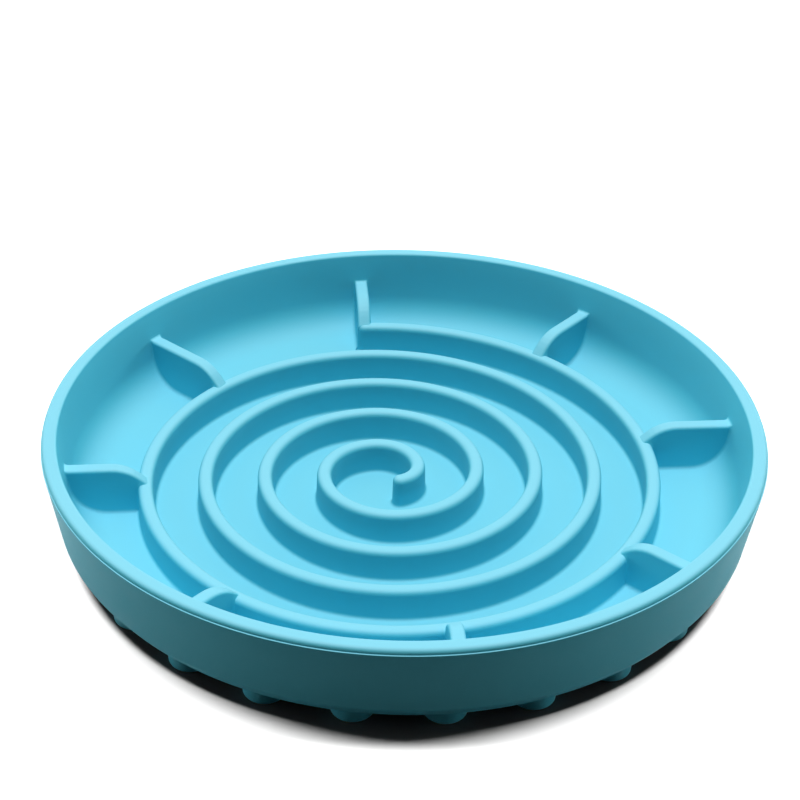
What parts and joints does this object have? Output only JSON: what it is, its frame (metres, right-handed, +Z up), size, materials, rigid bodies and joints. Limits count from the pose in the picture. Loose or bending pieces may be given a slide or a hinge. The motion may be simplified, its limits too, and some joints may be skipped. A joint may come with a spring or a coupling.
{
  "type": "slow feeder bowl",
  "caption": "Low round silicone slow feeder bowl: a coved tray with a raised spiral ridge, radial divider ribs and a ring of suction feet underneath that grip the table.",
  "frame": {"origin": "on the table, under the middle of the bowl", "axes": "+Z up through the bowl's axis; +X and +Y along two of the divider ribs"},
  "size_m": [0.21, 0.21, 0.031],
  "materials": {
    "silicone": "satin moulded silicone, sky blue"
  },
  "bodies": {
    "bowl": {"outer_wall": "silicone", "bowl_floor": "silicone", "spiral_ridge_turn_1": "silicone", "spiral_ridge_turn_2": "silicone", "spiral_ridge_turn_3": "silicone", "spiral_ridge_turn_4": "silicone", "divider_rib_1": "silicone", "divider_rib_2": "silicone", "divider_rib_3": "silicone", "divider_rib_4": "silicone", "divider_rib_5": "silicone", "divider_rib_6": "silicone", "divider_rib_7": "silicone", "divider_rib_8": "silicone"},
    "suction_feet": {"suction_foot_01": "silicone", "suction_foot_02": "silicone", "suction_foot_03": "silicone", "suction_foot_04": "silicone", "suction_foot_05": "silicone", "suction_foot_06": "silicone", "suction_foot_07": "silicone", "suction_foot_08": "silicone", "suction_foot_09": "silicone", "suction_foot_10": "silicone", "suction_foot_11": "silicone", "suction_foot_12": "silicone", "suction_foot_13": "silicone", "suction_foot_14": "silicone", "suction_foot_15": "silicone", "suction_foot_16": "silicone", "suction_foot_17": "silicone", "suction_foot_18": "silicone", "suction_foot_19": "silicone", "suction_foot_20": "silicone", "suction_foot_21": "silicone", "suction_foot_22": "silicone", "suction_foot_23": "silicone", "suction_foot_24": "silicone"}
  },
  "joints": [
    {"name": "foot_press", "type": "slide", "parent": "bowl", "child": "suction_feet", "axis": [0, 0, 1], "range_m": [0, 0.0015], "stiffness_N_per_m": 12000, "springref_m": -0.0003, "deforming": ["suction_foot_01", "suction_foot_02", "suction_foot_03", "suction_foot_04", "suction_foot_05", "suction_foot_06", "suction_foot_07", "suction_foot_08", "suction_foot_09", "suction_foot_10", "suction_foot_11", "suction_foot_12", "suction_foot_13", "suction_foot_14", "suction_foot_15", "suction_foot_16", "suction_foot_17", "suction_foot_18", "suction_foot_19", "suction_foot_20", "suction_foot_21", "suction_foot_22", "suction_foot_23", "suction_foot_24"]}
  ]
}
